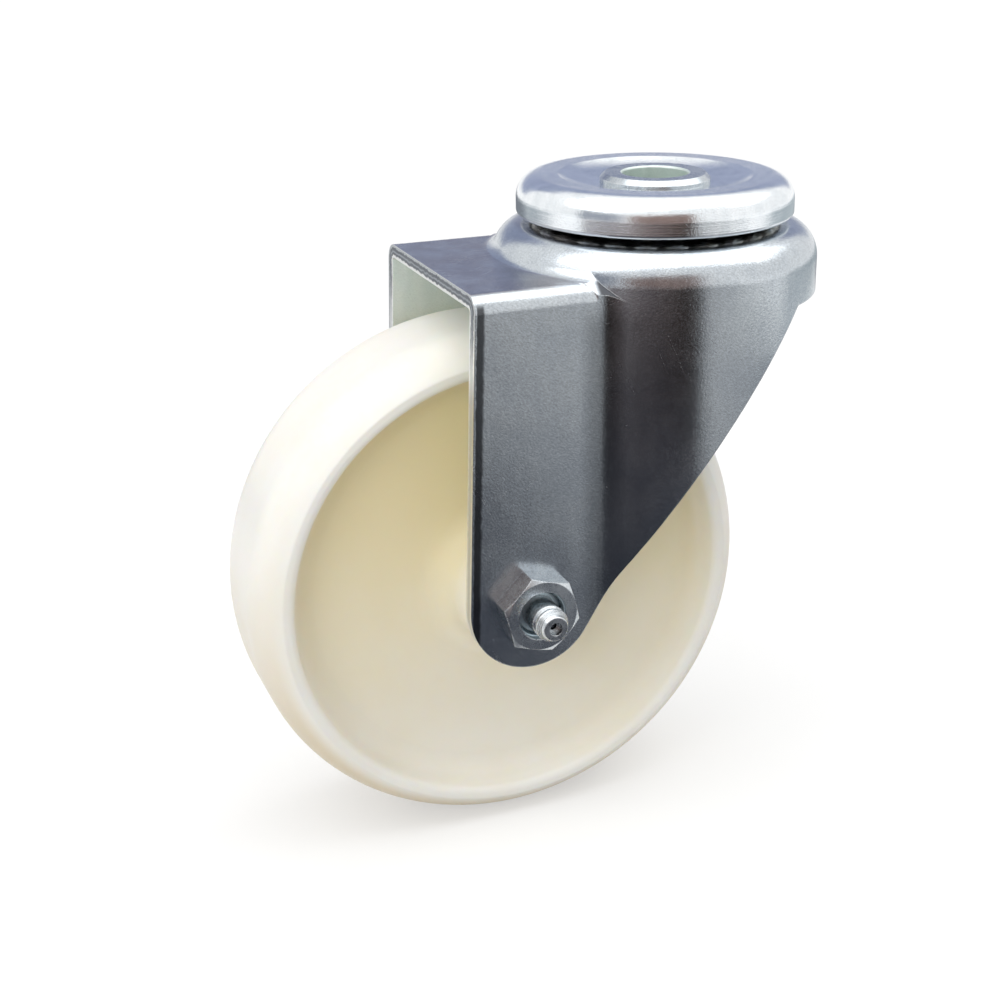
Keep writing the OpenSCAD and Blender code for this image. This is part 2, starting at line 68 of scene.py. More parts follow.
ZINC_DARK = (0.52, 0.56, 0.60, 1)
ZINC_LIGHT = (0.60, 0.64, 0.67, 1)
# Painted edge highlight that brightens every edge; also the colour of fine scratches
ZINC_SCRATCH_AND_EDGE_HIGHLIGHT = (0.80, 0.83, 0.84, 1)
ZINC_SPECK = (0.20, 0.21, 0.23, 1)
# Painted shade for the fork's rolled-over strip, its crease and its folds
FOLD_SHADE = (0.02, 0.02, 0.024, 1)
PLATE_STAIN = (0.32, 0.30, 0.33, 1)
SHEARED_BRIGHT = (0.94, 0.94, 0.92, 1)
SHEARED_TORN = (0.13, 0.14, 0.16, 1)
SHEARED_STREAK = (0.62, 0.66, 0.70, 1)
SHEARED_LINE = (0.75, 0.78, 0.80, 1)
CAP_DARK = (0.80, 0.84, 0.87, 1)
CAP_LIGHT = (0.92, 0.95, 0.97, 1)
# Painted light: a paler, greener copy of the zinc for the shaded hollow side of the fork
INSIDE_DARK = (0.82, 0.90, 0.87, 1)
INSIDE_LIGHT = (0.90, 0.96, 0.93, 1)
# Painted light and reflection: a paler, greener copy of the zinc for the bolt hole's wall
BORE_DARK = (0.60, 0.69, 0.65, 1)
BORE_LIGHT = (0.70, 0.78, 0.74, 1)
TURNED_DARK = (0.44, 0.48, 0.51, 1)
TURNED_LIGHT = (0.58, 0.61, 0.63, 1)
# Pale blue painted light and reflection for the bolt's end and the nut's thread, deep in the nut's
# recess
BOLT_DARK = (0.68, 0.86, 0.94, 1)
BOLT_LIGHT = (0.84, 0.95, 0.99, 1)
NUT_DARK = (0.56, 0.60, 0.64, 1)
NUT_LIGHT = (0.74, 0.78, 0.80, 1)
NIPPLE_DARK = (0.5, 0.53, 0.55, 1)
NIPPLE_LIGHT = (0.72, 0.75, 0.77, 1)
STEEL_DARK = (0.50, 0.50, 0.49, 1)
STEEL_LIGHT = (0.68, 0.68, 0.66, 1)
STEEL_GREASE = (0.42, 0.36, 0.26, 1)
BALL_BRIGHT = (0.94, 0.94, 0.90, 1)
BALL_GREASE = (0.58, 0.54, 0.46, 1)
# Painted shade: the check ball is near black, so the nipple's hole reads dark
VALVE_SHADE_DARK = (0.04, 0.045, 0.055, 1)
VALVE_SHADE_GREASE = (0.03, 0.03, 0.03, 1)
NYLON_PALE = (0.93, 0.91, 0.86, 1)
NYLON_WARM = (0.91, 0.88, 0.80, 1)
# Painted shade: warm yellow in the dishes, deepest high on the wheel, and tan on the tread's
# downward faces
NYLON_DISH_SHADE = (0.88, 0.76, 0.46, 1)
NYLON_TAN_SHADE = (0.76, 0.64, 0.42, 1)
CAGE_BLACK = (0.030, 0.030, 0.033, 1)
CAGE_GREY = (0.055, 0.055, 0.060, 1)

# Where the ground card's dark part ends, and which way its edge runs from there

DARK_EDGE = (0.007, -0.150, math.radians(-82))

# The ground card's tones: low and dark before the object, far left, near, far, and right
GROUND_TONES = [(0.072, 0.078, 0.096), (0.012, 0.006, 0.003), (0.24, 0.20, 0.20),
                (0.23, 0.24, 0.26), (0.51, 0.52, 0.53), (0.46, 0.50, 0.53)]

# Stands a thing that lies flat upright, or turns one that stands onto the axle
UPRIGHT = Matrix.Rotation(math.pi / 2, 4, "X")

# Camera, as the photograph was taken

CAMERA_TURN = math.radians(-23.69)
CAMERA_RISE = math.radians(20.53)
CAMERA_AWAY = 0.4273
CAMERA_AIM = Vector((-0.020, 0, -0.0759))
CAMERA_LENS = 61.15
CAMERA_SHIFT = (-0.0790, -0.0210)


# Small helpers for node trees

def add(tree, kind, settings=None, **inputs):
    """A new node. Each named input is linked if it is a socket, and set to the value otherwise."""
    node = tree.nodes.new(kind)
    for name, value in (settings or {}).items():
        setattr(node, name, value)
    for name, value in inputs.items():
        join(tree, node.inputs[name.replace("_", " ")], value)
    return node


def join(tree, socket, value):
    if isinstance(value, bpy.types.NodeSocket):
        tree.links.new(value, socket)
    else:
        socket.default_value = value


def calc(tree, operation, *values, clamp=False):
    """The output of a Math node."""
    node = add(tree, "ShaderNodeMath", {"operation": operation, "use_clamp": clamp})
    for socket, value in zip(node.inputs, values):
        join(tree, socket, value)
    return node.outputs[0]


def weighed(tree, a, a_share, b, b_share):
    """The sum of a and b, each times its share."""
    return calc(tree, "MULTIPLY_ADD", a, a_share, calc(tree, "MULTIPLY", b, b_share))


def length(tree, a, b):
    """The length of the flat vector (a, b)."""
    return calc(tree, "SQRT", calc(tree, "MULTIPLY_ADD", a, a, calc(tree, "MULTIPLY", b, b)))


def split(tree, vector):
    """The X, Y and Z of a vector."""
    return add(tree, "ShaderNodeSeparateXYZ", Vector=vector).outputs


def distance_from(tree, value, level):
    """How far the value lies from the level, on either side."""
    return calc(tree, "ABSOLUTE", calc(tree, "SUBTRACT", value, level))


def line_noise(tree, along, scale, detail, **settings):
    """Noise that changes along one value only."""
    node = add(tree, "ShaderNodeTexNoise", {"noise_dimensions": "1D"}, W=along, Scale=scale,
               Detail=detail, **settings)
    return node.outputs[0]


def face_normal(tree):
    return tree.nodes.new("ShaderNodeNewGeometry").outputs["Normal"]


def blend(tree, factor, a, b, kind="MIX"):
    """The colour between a and b."""
    node = add(tree, "ShaderNodeMix", {"data_type": "RGBA", "blend_type": kind})
    join(tree, node.inputs[0], factor)
    join(tree, node.inputs[6], a)
    join(tree, node.inputs[7], b)
    return node.outputs[2]


def remap(tree, value, low, high, to_low=0.0, to_high=1.0):
    """The value with the stretch from low to high laid over the one from to_low to to_high."""
    node = add(tree, "ShaderNodeMapRange", {"interpolation_type": "SMOOTHSTEP"}, Value=value)
    ends = {"From Min": low, "From Max": high, "To Min": to_low, "To Max": to_high}
    for name, number in ends.items():
        join(tree, node.inputs[name], number)
    return node.outputs[0]


def noise(tree, vector, scale, detail=3.0, roughness=0.5):
    node = add(tree, "ShaderNodeTexNoise", Vector=vector, Scale=scale, Detail=detail,
               Roughness=roughness)
    return node.outputs[0]


def stretched(tree, vector, scale=(1, 1, 1), place=(0, 0, 0), turn=(0, 0, 0)):
    """The vector moved, turned and stretched."""
    node = add(tree, "ShaderNodeMapping", {"vector_type": "POINT"}, Vector=vector)
    node.inputs["Location"].default_value = place
    node.inputs["Rotation"].default_value = turn
    node.inputs["Scale"].default_value = scale
    return node.outputs[0]


def new_group(name, inputs, outputs):
    """A shader node group. Inputs are (name, kind, default) and outputs (name, kind)."""
    tree = bpy.data.node_groups.new(name, "ShaderNodeTree")
    new_socket = tree.interface.new_socket
    for label, kind, default in inputs:
        socket = new_socket(name=label, in_out="INPUT", socket_type="NodeSocket" + kind)
        if default is not None:
            socket.default_value = default
    for label, kind in outputs:
        new_socket(name=label, in_out="OUTPUT", socket_type="NodeSocket" + kind)
    given = tree.nodes.new("NodeGroupInput").outputs
    return tree, given, tree.nodes.new("NodeGroupOutput").inputs


def use(tree, group, **inputs):
    """A group placed in a tree, with its own values."""
    node = tree.nodes.new("ShaderNodeGroup")
    node.node_tree = group
    for name, value in inputs.items():
        join(tree, node.inputs[name.replace("_", " ")], value)
    return node.outputs


# Effects that several materials share

def plating_group():
    """Zinc plating on sheet: soft clouds, a fine sandy grain and small specks."""
    tree, given, result = new_group("plating", [
        ("Vector", "Vector", None), ("Cloud Scale", "Float", 60.0),
        ("Grain Scale", "Float", 2000.0), ("Grain Depth", "Float", 0.22),
        ("Dark", "Color", ZINC_DARK), ("Light", "Color", ZINC_LIGHT),
        ("Smooth", "Float", 0.26), ("Rough", "Float", 0.40),
    ], [("Color", "Color"), ("Roughness", "Float"), ("Height", "Float")])
    vector = given["Vector"]
    clouds = noise(tree, vector, given["Cloud Scale"], 4.0, 0.6)
    streak_scale = calc(tree, "MULTIPLY", given["Cloud Scale"], 6.0)
    streaks = noise(tree, stretched(tree, vector, (1.0, 1.0, 0.16)), streak_scale)
    grain = noise(tree, vector, given["Grain Scale"], 2.0, 0.65)
    cell_scale = calc(tree, "MULTIPLY", given["Grain Scale"], 0.6)
    cells = add(tree, "ShaderNodeTexVoronoi", Vector=vector, Scale=cell_scale)
    specks = remap(tree, cells.outputs["Distance"], 0.05, 0.20, 1.0, 0.0)
    slanted = stretched(tree, stretched(tree, vector, turn=(0, 1.0, 0)), (1.0, 1.0, 0.45))
    sand = noise(tree, slanted, calc(tree, "MULTIPLY", given["Grain Scale"], 1.7), 2.0, 0.8)

    tone = remap(tree, weighed(tree, streaks, 0.35, clouds, 0.65), 0.36, 0.64)
    colour = blend(tree, tone, given["Dark"], given["Light"])
    colour = blend(tree, calc(tree, "MULTIPLY", specks, 0.16), colour, ZINC_SPECK)
    fine = calc(tree, "SUBTRACT", remap(tree, sand, 0.30, 0.70), 0.5)
    shade = calc(tree, "MULTIPLY_ADD", fine, given["Grain Depth"], 1.0)
    tree.links.new(blend(tree, 1.0, colour, shade, "MULTIPLY"), result["Color"])

    rough = remap(tree, weighed(tree, grain, 0.35, clouds, 0.65), 0.3, 0.7,
                  given["Smooth"], given["Rough"])
    tree.links.new(rough, result["Roughness"])
    pits = calc(tree, "MULTIPLY", specks, 0.5)
    tree.links.new(calc(tree, "SUBTRACT", grain, pits), result["Height"])
    return tree


def turning_group():
    """Fine lathe lines round the vector's own Z axis, on faces and on sides alike."""
    tree, given, result = new_group("turning", [
        ("Vector", "Vector", None), ("Lines per Metre", "Float", 4500.0),
    ], [("Height", "Float"), ("Tone", "Float")])
    x, y, z = split(tree, given["Vector"])
    along = calc(tree, "MULTIPLY_ADD", z, 0.8, length(tree, x, y))
    per_metre = given["Lines per Metre"]
    tree.links.new(line_noise(tree, along, per_metre, 3.0, Roughness=0.7), result["Height"])
    broad = line_noise(tree, along, calc(tree, "MULTIPLY", per_metre, 0.2), 1.0)
    tree.links.new(broad, result["Tone"])
    return tree


def edge_rounding_and_highlight_group():
    """Rounds the edges in the shading, and gives a patchy mask along them for a painted edge
    highlight.
    """
    tree, given, result = new_group("edges", [
        ("Radius", "Float", 0.0004), ("Vector", "Vector", None),
    ], [("Mask", "Float"), ("Normal", "Vector")])
    rounded = add(tree, "ShaderNodeBevel", {"samples": 4}, Radius=given["Radius"]).outputs[0]
    turn = add(tree, "ShaderNodeVectorMath", {"operation": "DOT_PRODUCT"})
    tree.links.new(rounded, turn.inputs[0])
    tree.links.new(face_normal(tree), turn.inputs[1])
    patchy = remap(tree, noise(tree, given["Vector"], 900.0, 2.0), 0.3, 0.6, 0.5, 1.0)
    near = remap(tree, turn.outputs["Value"], 0.995, 0.90)
    tree.links.new(calc(tree, "MULTIPLY", near, patchy), result["Mask"])
    tree.links.new(rounded, result["Normal"])
    return tree


def scuff_group():
    """Sparse hair-fine scratches in three directions."""
    tree, given, result = new_group("scuffs", [("Vector", "Vector", None)], [("Mask", "Float")])
    total = None
    for angle, lift in ((0.5, 0.2), (1.7, -0.4), (2.6, 0.9)):
        turned = stretched(tree, given["Vector"], turn=(lift, angle, 0.3 * angle))
        long = stretched(tree, turned, scale=(1.0, 30.0, 0.6))
        line = noise(tree, long, 90.0, 1.0, 0.4)
        gate = noise(tree, turned, 40.0, 1.0)
        hair = calc(tree, "MULTIPLY", remap(tree, line, 0.70, 0.76), remap(tree, gate, 0.50, 0.62))
        total = hair if total is None else calc(tree, "MAXIMUM", total, hair)
    tree.links.new(total, result["Mask"])
    return tree


PLATING = plating_group()
TURNING = turning_group()
EDGE_ROUNDING_AND_HIGHLIGHT = edge_rounding_and_highlight_group()
SCUFFS = scuff_group()


# Materials

def new_material(name):
    """An empty node material, its tree, its shader and its object coordinates."""
    material = bpy.data.materials.new(name)
    material.use_nodes = True
    tree = material.node_tree
    tree.nodes.clear()
    shader = tree.nodes.new("ShaderNodeBsdfPrincipled")
    output = tree.nodes.new("ShaderNodeOutputMaterial")
    tree.links.new(shader.outputs[0], output.inputs[0])
    return material, tree, shader, tree.nodes.new("ShaderNodeTexCoord").outputs["Object"]


def bump(tree, height, strength, distance, normal):
    node = add(tree, "ShaderNodeBump", Strength=strength, Distance=distance, Height=height)
    tree.links.new(normal, node.inputs["Normal"])
    return node.outputs[0]


def zinc_sheet(name="zinc_sheet", spin=0.0, smooth=0.19, rough=0.27, dark=ZINC_DARK,
               light=ZINC_LIGHT, metallic=1.0, sand=0.28):
    """Bright blue-white zinc on pressed sheet. Spin adds fine rings about the swivel's axis."""
    material, tree, shader, place = new_material(name)
    shader.inputs["Metallic"].default_value = metallic
    plating = use(tree, PLATING, Vector=place, Smooth=smooth, Rough=rough, Dark=dark, Light=light,
                  Grain_Depth=sand)
    edges = use(tree, EDGE_ROUNDING_AND_HIGHLIGHT, Vector=place)
    scuffs = use(tree, SCUFFS, Vector=place)["Mask"]
    # Painted highlight: the colour brightens along every edge
    colour = blend(tree, calc(tree, "MULTIPLY", edges["Mask"], 0.75), plating["Color"], ZINC_SCRATCH_AND_EDGE_HIGHLIGHT)
    colour = blend(tree, calc(tree, "MULTIPLY", scuffs, 0.12), colour, ZINC_SCRATCH_AND_EDGE_HIGHLIGHT)
    tree.links.new(colour, shader.inputs["Base Color"])
    rough = calc(tree, "MULTIPLY_ADD", scuffs, 0.05, plating["Roughness"])
    tree.links.new(rough, shader.inputs["Roughness"])
    height = plating["Height"]
    if spin:
        rings = use(tree, TURNING, Vector=place)
        height = calc(tree, "MULTIPLY_ADD", rings["Height"], spin, height)
    normal = bump(tree, height, 0.45, 0.00006, edges["Normal"])
    waves = noise(tree, place, 60.0, 2.0)
    normal = bump(tree, waves, 0.20, 0.0006, normal)
    tree.links.new(normal, shader.inputs["Normal"])
    return material


def painted_roll_shade(tree, place, x, z, across):
    """Where the punch rolled the legs' faces over, in a band that follows the leading edge: the
    mask of a painted dark shade there.
    """
    wobble = calc(tree, "SUBTRACT", noise(tree, place, 400.0, 3.0), 0.5)
    lead = calc(tree, "MULTIPLY_ADD", calc(tree, "SUBTRACT", PLATE_Z, z), LEAD_LEAN, x)
    along = calc(tree, "SUBTRACT", calc(tree, "MULTIPLY_ADD", wobble, 0.0007, lead), PLATE_X)
    band = calc(tree, "MULTIPLY", remap(tree, along, 0.0004, 0.0007),
                remap(tree, along, 0.0019, 0.0027, 1.0, 0.0))
    on_leg = remap(tree, calc(tree, "ABSOLUTE", across), 0.80, 0.97)
    return calc(tree, "MULTIPLY", band, on_leg)


def painted_fold_shade(tree, x, z):
    """The hollow folds between the legs and the skirt: the mask of a painted shade there."""
    fold = calc(tree, "MULTIPLY", remap(tree, x, -0.0340, -0.0288), remap(tree, x, -0.010, -0.022))
    return calc(tree, "MULTIPLY", fold, remap(tree, z, PLATE_Z - 0.003, PLATE_Z - 0.010))


def painted_crease_shade(tree, x, z, upward):
    """The pinch where the bend beside the top plate runs into the fold: the mask of a painted shade
    over its upward faces.
    """
    crease = calc(tree, "MULTIPLY", remap(tree, x, -0.0292, -0.0276),
                  remap(tree, upward, 0.20, 0.40))
    return calc(tree, "MULTIPLY", crease, remap(tree, z, -0.0174, -0.0182))


def pressed_fork():
    """The fork's sheet: painted shade where it is rolled over, creased and folded, and stained on
    the flat plate.
    """
    material = zinc_sheet("pressed_fork")
    tree = material.node_tree
    shader = next(node for node in tree.nodes if node.type == "BSDF_PRINCIPLED")
    place = tree.nodes.new("ShaderNodeTexCoord").outputs["Object"]
    x, y, z = split(tree, place)
    across, upward = split(tree, face_normal(tree))[1:]
    # Painted shade: dark bands on the rolled-over strip, the crease and the folds
    roll = calc(tree, "MULTIPLY", painted_roll_shade(tree, place, x, z, across), 0.84)
    shade = calc(tree, "MAXIMUM", roll,
                 calc(tree, "MULTIPLY", painted_crease_shade(tree, x, z, upward), 0.92))
    shade = calc(tree, "MAXIMUM", shade, calc(tree, "MULTIPLY", painted_fold_shade(tree, x, z), 0.42))
    plain = shader.inputs["Base Color"].links[0].from_socket
    colour = blend(tree, shade, plain, FOLD_SHADE)
    blotches = remap(tree, noise(tree, place, 110.0, 4.0, 0.65), 0.30, 0.70, 0.40, 0.85)
    stain = calc(tree, "MULTIPLY", remap(tree, upward, 0.90, 0.99),
                 remap(tree, x, -0.020, -0.034))
    colour = blend(tree, calc(tree, "MULTIPLY", stain, blotches), colour, PLATE_STAIN)
    tree.links.new(colour, shader.inputs["Base Color"])
    return material


def depth_in_sheet(tree, y, z):
    """How far through the sheet a point lies: 0 at the outer face and 1 at the inner, bends too."""
    side = calc(tree, "SUBTRACT", calc(tree, "ABSOLUTE", y), LEG_OUT - BEND_R)
    top = calc(tree, "SUBTRACT", z, PLATE_Z - BEND_R)
    corner = add(tree, "ShaderNodeCombineXYZ", X=calc(tree, "MAXIMUM", side, 0.0),
                 Y=calc(tree, "MAXIMUM", top, 0.0))
    reach = add(tree, "ShaderNodeVectorMath", {"operation": "LENGTH"})
    tree.links.new(corner.outputs[0], reach.inputs[0])
    short = calc(tree, "MINIMUM", calc(tree, "MAXIMUM", side, top), 0.0)
    past = calc(tree, "ADD", reach.outputs["Value"], short)
    return calc(tree, "DIVIDE", calc(tree, "SUBTRACT", BEND_R, past), SHEET)


def sheared_edge():
    """The punched edge of the sheet: bright at both its corners, with a torn grey band between."""
    material, tree, shader, place = new_material("sheared_edge")
    shader.inputs["Metallic"].default_value = 1.0
    x, y, z = split(tree, place)
    wobble = calc(tree, "SUBTRACT", noise(tree, place, 700.0, 3.0), 0.5)
    ragged = calc(tree, "MULTIPLY_ADD", wobble, 0.35, depth_in_sheet(tree, y, z))
    torn = remap(tree, ragged, 0.16, 0.26)
    strip = calc(tree, "MULTIPLY", torn, remap(tree, ragged, 0.74, 0.84, 1.0, 0.0))
    streak = remap(tree, distance_from(tree, ragged, 0.52), 0.02, 0.10, 0.55, 0.0)
    lines = noise(tree, stretched(tree, place, (1.0, 0.05, 1.0)), 3000.0, 2.0, 0.6)
    # The legs' leading edge is paler than the plate's
    pale = calc(tree, "MULTIPLY", remap(tree, z, PLATE_Z - 0.006, PLATE_Z - 0.020),
                remap(tree, x, AXLE.x - 0.003, AXLE.x - 0.006))
    strip = calc(tree, "MULTIPLY", strip, calc(tree, "MULTIPLY_ADD", pale, -0.75, 1.0))
    colour = blend(tree, strip, SHEARED_BRIGHT, SHEARED_TORN)
    colour = blend(tree, streak, colour, SHEARED_STREAK)
    colour = blend(tree, calc(tree, "MULTIPLY", lines, 0.3), colour, SHEARED_LINE)
    tree.links.new(colour, shader.inputs["Base Color"])
    tree.links.new(remap(tree, torn, 0.0, 1.0, 0.30, 0.55), shader.inputs["Roughness"])
    edges = use(tree, EDGE_ROUNDING_AND_HIGHLIGHT, Vector=place, Radius=0.0003)
    normal = bump(tree, lines, 0.4, 0.00008, edges["Normal"])
    tree.links.new(normal, shader.inputs["Normal"])
    return material


def turned_zinc(name, centre, turn, lines=4500.0, dark=TURNED_DARK, light=TURNED_LIGHT,
                rough=0.34):
    """Zinc plated turned steel, with lathe lines round the axis through centre."""
    material, tree, shader, place = new_material(name)
    shader.inputs["Metallic"].default_value = 1.0
    moved = stretched(tree, place, place=-Vector(centre))
    turned = stretched(tree, moved, turn=turn)
    rings = use(tree, TURNING, Vector=turned, Lines_per_Metre=lines)
    plating = use(tree, PLATING, Vector=place, Cloud_Scale=140.0, Grain_Scale=2600.0,
                  Dark=dark, Light=light, Smooth=0.6 * rough, Rough=rough)
    edges = use(tree, EDGE_ROUNDING_AND_HIGHLIGHT, Vector=place, Radius=0.00025)
    colour = blend(tree, calc(tree, "MULTIPLY", rings["Tone"], 0.30), plating["Color"], ZINC_DARK)
    # Painted highlight: the colour brightens along every edge
    colour = blend(tree, calc(tree, "MULTIPLY", edges["Mask"], 0.8), colour, ZINC_SCRATCH_AND_EDGE_HIGHLIGHT)
    tree.links.new(colour, shader.inputs["Base Color"])
    tree.links.new(plating["Roughness"], shader.inputs["Roughness"])
    height = weighed(tree, rings["Height"], 0.8, plating["Height"], 0.4)
    normal = bump(tree, height, 0.25, 0.00005, edges["Normal"])
    tree.links.new(normal, shader.inputs["Normal"])
    return material


def ground_steel(name, centre, turn):
    """Hardened steel, ground round its own axis, with a thin smear of grease."""
    material, tree, shader, place = new_material(name)
    shader.inputs["Metallic"].default_value = 1.0
    moved = stretched(tree, place, place=-Vector(centre))
    turned = stretched(tree, moved, turn=turn)
    rings = use(tree, TURNING, Vector=turned, Lines_per_Metre=9000.0)
    smear = remap(tree, noise(tree, place, 220.0, 3.0), 0.45, 0.65)
    colour = blend(tree, rings["Tone"], STEEL_DARK, STEEL_LIGHT)
    colour = blend(tree, calc(tree, "MULTIPLY", smear, 0.25), colour, STEEL_GREASE)
    tree.links.new(colour, shader.inputs["Base Color"])
    tree.links.new(remap(tree, smear, 0.0, 1.0, 0.16, 0.30), shader.inputs["Roughness"])
    edges = use(tree, EDGE_ROUNDING_AND_HIGHLIGHT, Vector=place, Radius=0.0002)
    normal = bump(tree, rings["Height"], 0.15, 0.00003, edges["Normal"])
    tree.links.new(normal, shader.inputs["Normal"])
    return material


def polished_ball(name="polished_steel", bright=BALL_BRIGHT, greasy=BALL_GREASE):
    """Bearing balls and rollers: mirror bright, dimmed here and there by grease."""
    material, tree, shader, place = new_material(name)
    shader.inputs["Metallic"].default_value = 1.0
    film = remap(tree, noise(tree, place, 260.0, 3.0), 0.42, 0.66)
    tree.links.new(blend(tree, film, bright, greasy), shader.inputs["Base Color"])
    tree.links.new(remap(tree, film, 0.0, 1.0, 0.07, 0.24), shader.inputs["Roughness"])
    fine = noise(tree, place, 2400.0, 1.0)
    normal = bump(tree, fine, 0.05, 0.00002, face_normal(tree))
    tree.links.new(normal, shader.inputs["Normal"])
    return material


def moulded_nylon():
    """Ivory moulded nylon: milky and faintly cloudy, with a painted warm shade in the dishes and a
    painted tan shade on the tread's downward faces.
    """
    material, tree, shader, place = new_material("moulded_nylon")
    for name, value in (("Subsurface Weight", 0.35), ("Subsurface Scale", 0.006), ("IOR", 1.50)):
        shader.inputs[name].default_value = value
    shader.inputs["Subsurface Radius"].default_value = (1.0, 0.75, 0.45)
    x, y, z = split(tree, stretched(tree, place, place=-AXLE))
    radius = length(tree, x, z)
    off_middle = calc(tree, "ABSOLUTE", y)
    clouds = noise(tree, place, 45.0, 4.0, 0.55)
    rings = line_noise(tree, radius, 260.0, 2.0)
    grain = noise(tree, place, 1600.0, 2.0, 0.6)

    mix = weighed(tree, rings, 0.1, clouds, 0.9)
    skin = blend(tree, remap(tree, mix, 0.32, 0.68), NYLON_PALE, NYLON_WARM)
    # Painted shade: the dishes turn a darker yellow, most towards the top of the wheel
    inward = remap(tree, radius, DISH_R - 0.004, DISH_R + 0.0015, 1.0, 0.0)
    deep = remap(tree, off_middle, 0.012, 0.024, 1.0, 0.35)
    height = calc(tree, "MULTIPLY_ADD", clouds, 0.02, z)
    painted_upper_shade = remap(tree, height, -0.055, 0.055, 0.16, 1.0)
    painted_dish_shade = calc(tree, "MULTIPLY", painted_upper_shade, calc(tree, "MULTIPLY", inward, deep))
    warm = blend(tree, painted_dish_shade, skin, NYLON_DISH_SHADE)
    # Painted shade: tan on the tread's downward faces
    upward = split(tree, face_normal(tree))[2]
    shaded = calc(tree, "MULTIPLY", remap(tree, upward, 0.25, -0.60, 0.0, 0.80),
                  remap(tree, radius, DISH_R + 0.002, DISH_R + 0.006))
    tree.links.new(blend(tree, shaded, warm, NYLON_TAN_SHADE), shader.inputs["Base Color"])

    rough = remap(tree, weighed(tree, grain, 0.5, clouds, 0.5), 0.3, 0.7, 0.30, 0.44)
    tree.links.new(rough, shader.inputs["Roughness"])
    # Soft flow rings, then the grain and the mould's fine parting line round the tread
    edges = use(tree, EDGE_ROUNDING_AND_HIGHLIGHT, Vector=place, Radius=0.0008)
    flow = calc(tree, "MULTIPLY_ADD", rings, 0.2, clouds)
    normal = bump(tree, flow, 0.08, 0.0008, edges["Normal"])
    parting = remap(tree, off_middle, 0.0, 0.00022, 1.0, 0.0)
    fine = calc(tree, "MULTIPLY_ADD", parting, 3.0, grain)
    normal = bump(tree, fine, 0.12, 0.00006, normal)
    tree.links.new(normal, shader.inputs["Normal"])
    return material


def cage_plastic():
    """Dark moulded cage with a satin grain and a cloudy tone."""
    material, tree, shader, place = new_material("cage_plastic")
    clouds = noise(tree, place, 300.0, 3.0)
    tree.links.new(blend(tree, clouds, CAGE_BLACK, CAGE_GREY), shader.inputs["Base Color"])
    tree.links.new(remap(tree, clouds, 0.3, 0.7, 0.32, 0.5), shader.inputs["Roughness"])
    edges = use(tree, EDGE_ROUNDING_AND_HIGHLIGHT, Vector=place, Radius=0.0003)
    normal = bump(tree, noise(tree, place, 2500.0, 2.0), 0.1, 0.00004, edges["Normal"])
    tree.links.new(normal, shader.inputs["Normal"])
    return material


# Dressing the solids

def dress(node, material):
    slots = NODES[node].data.materials
    slots.clear()
    slots.append(material)


def dress_faces(node, material, chosen):
    """A second material on the faces for which chosen(centre, normal) is true."""
    mesh = NODES[node].data
    mesh.materials.append(material)
    place = len(mesh.materials) - 1
    for face in mesh.polygons:
        if chosen(face.center, face.normal):
            face.material_index = place


def is_punched(centre, normal):
    """Faces of the fork that the press cut: the leading and trailing edges and the legs' ends."""
    if abs(normal.y) > 0.2 or centre.z > FORK_HIGH.z - 0.009:
        return False
    from_axle = Vector((centre.x, 0, centre.z)) - AXLE
    on_hole = from_axle.length < 0.75 * TONGUE_R
    leading = normal.x < -0.95 and centre.x < AXLE.x - 0.010
    trailing = normal.z < -0.2 and normal.x > -0.2 and centre.z < FORK_HIGH.z - 0.020
    round_end = abs(from_axle.length - TONGUE_R) < 0.0003
    return (leading or trailing or round_end) and not on_hole


def is_inside(centre, normal):
    """Faces on the hollow side of the fork."""
    radial = centre.x * normal.x + centre.y * normal.y
    on_leg = centre.y * normal.y < -0.2 * abs(centre.y)
    in_skirt = centre.x > -0.03 and radial < -0.002
    return on_leg or in_skirt or normal.z < -0.7


def is_bore(centre, normal):
    """The wall of the bolt hole."""
    return centre.x * normal.x + centre.y * normal.y < -0.001


def is_near_end(centre, normal):
    """The bolt's threaded end, deep in the nut, which gets a pale blue painted light."""
    return centre.y < 0


def dress_head_and_fork():
    about_swivel = ((0, 0, 0), (0, 0, 0))
    sheet = zinc_sheet()
    dress("fork", pressed_fork())
    # Painted light: the hollow side gets a paler, greener copy of the zinc
    inside = zinc_sheet("zinc_inside_painted_light", smooth=0.42, rough=0.52, dark=INSIDE_DARK,
                        light=INSIDE_LIGHT, metallic=0.5, sand=0.07)
    dress_faces("fork", inside, is_inside)
    dress_faces("fork", sheared_edge(), is_punched)
    dress("lower_race_plate", sheet)
    dress("top_cap", zinc_sheet("spun_cap", spin=0.7, smooth=0.13, rough=0.22, dark=CAP_DARK,
                                light=CAP_LIGHT, sand=0.10))
    dress("king_tube", turned_zinc("turned_tube", *about_swivel))
    # Painted light: the bore wall gets a paler, greener copy of the zinc
    bore = zinc_sheet("zinc_bore_painted_light", smooth=0.42, rough=0.52, dark=BORE_DARK, light=BORE_LIGHT,
                      metallic=0.6, sand=0.07)
    dress_faces("king_tube", bore, is_bore)


def dress_axle(painted_light_bolt_zinc, about_axle):
    nut_zinc = turned_zinc("turned_nut", *about_axle, dark=NUT_DARK, light=NUT_LIGHT)
    dress("axle_nut", nut_zinc)
    dress("axle_bolt", nut_zinc)
    dress_faces("axle_bolt", painted_light_bolt_zinc, is_near_end)
    dress("grease_nipple", turned_zinc("turned_nipple", *about_axle, lines=7000.0,
                                       dark=NIPPLE_DARK, light=NIPPLE_LIGHT))
    bearing = ground_steel("ground_steel", *about_axle)
    for node in ("spacer_sleeve", "left_thrust_washer", "right_thrust_washer", "check_spring"):
        dress(node, bearing)


